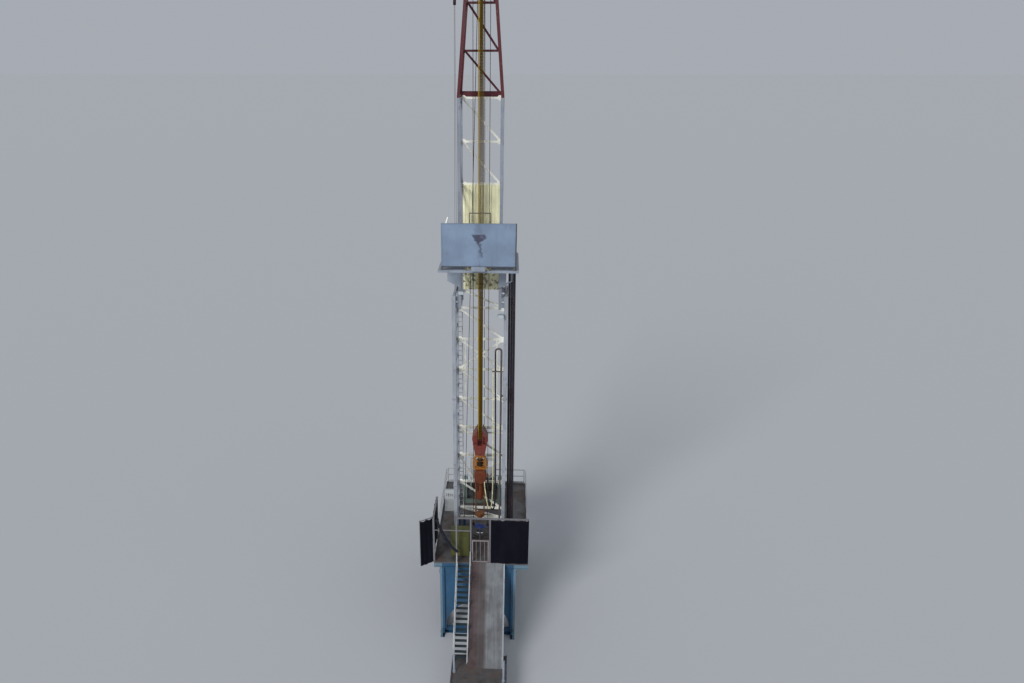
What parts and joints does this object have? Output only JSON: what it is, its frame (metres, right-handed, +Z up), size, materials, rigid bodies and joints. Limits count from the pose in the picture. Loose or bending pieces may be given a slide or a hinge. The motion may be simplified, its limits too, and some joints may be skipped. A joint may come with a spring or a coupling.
{
  "type": "oil drilling rig",
  "caption": "Land drilling rig with a telescoping lattice mast, monkey board, hoisted block and top drive, floor with windwalls, blue substructure, ramp, stair and catwalk.",
  "frame": {"origin": "middle of the underside of the middle base spreader, on the ground and on the mast's centre line", "axes": "-Y is the front with the V-door, ramp and catwalk; +X is to the right seen from the front; +Z is up along the mast"},
  "size_m": [6.282, 21.3, 39.28],
  "materials": {
    "blue_paint": "weathered blue paint",
    "white_paint": "weathered white paint",
    "mast_grey": "light bluish grey paint",
    "red_paint": "dark red paint",
    "pale_panel": "pale corrugated sheet",
    "board_grey": "blue-grey sheet",
    "tarp": "dark coated tarpaulin",
    "worn_steel": "worn bare steel",
    "dark_pipe": "dark oxidised pipe",
    "hook_gold": "worn orange-yellow paint",
    "drive_brown": "worn red-brown paint",
    "line_wire": "greased wire rope",
    "dark_wire": "dark weathered wire rope",
    "pale_rubber": "cream-coloured rubber",
    "hose_rubber": "black rubber",
    "machine_paint": "worn grey-green paint"
  },
  "bodies": {
    "root": {"sub_base": "blue_paint", "sub_front_frame": "blue_paint", "sub_rear_frame": "blue_paint", "sub_side_left": "blue_paint", "sub_side_right": "blue_paint", "floor_beams": "blue_paint", "drill_floor": "worn_steel", "rotary_table": "worn_steel", "floor_rail_left": "white_paint", "floor_rail_right": "white_paint", "floor_rail_rear": "white_paint", "windwall_frame": "white_paint", "windwall_front": "tarp", "windwall_left": "tarp", "ramp_plate": "worn_steel", "ramp_strip": "worn_steel", "ramp_frame": "white_paint", "stair_stringers": "white_paint", "stair_treads": "worn_steel", "stair_handrails": "white_paint", "catwalk_frame": "white_paint", "catwalk_deck": "worn_steel", "mast_shoes": "blue_paint", "mast_lower_left": "mast_grey", "mast_lower_right": "mast_grey", "mast_lower_rear": "white_paint", "mast_upper_left": "white_paint", "mast_upper_right": "white_paint", "mast_upper_rear": "white_paint", "mast_top_left": "red_paint", "mast_top_right": "red_paint", "mast_top_rear": "red_paint", "mast_guides": "worn_steel", "mast_ladder": "white_paint", "crown_frame": "red_paint", "crown_sheaves": "worn_steel", "crown_platform": "red_paint", "monkey_board": "white_paint", "diving_board": "white_paint", "board_windwall": "board_grey", "board_wings": "white_paint", "board_rear_panel": "pale_panel", "board_knee_braces": "white_paint", "board_fingers": "white_paint", "board_posts": "white_paint", "racked_pipe": "dark_pipe", "drill_lines": "line_wire", "standpipe": "worn_steel", "rotary_hose": "hose_rubber", "service_loop": "pale_rubber", "fixed_lines": "dark_wire", "drawworks": "machine_paint", "drawworks_guard": "white_paint", "driller_console": "white_paint", "deadline_anchor": "blue_paint"},
    "hoist": {"travelling_block": "red_paint", "hook": "hook_gold", "top_drive": "drive_brown", "elevator_links": "worn_steel"},
    "gate": {"v_door_gate": "white_paint"}
  },
  "joints": [
    {"name": "block_hoist", "type": "slide", "parent": "root", "child": "hoist", "axis": [0, 0, 1], "range_m": [0, 20], "deforming": ["drill_lines", "rotary_hose", "service_loop"]},
    {"name": "gate_hinge", "type": "hinge", "parent": "root", "child": "gate", "pos_m": [-0.355, -4.37, 6], "axis": [0, 0, 1], "range_deg": [0, 95]}
  ]
}
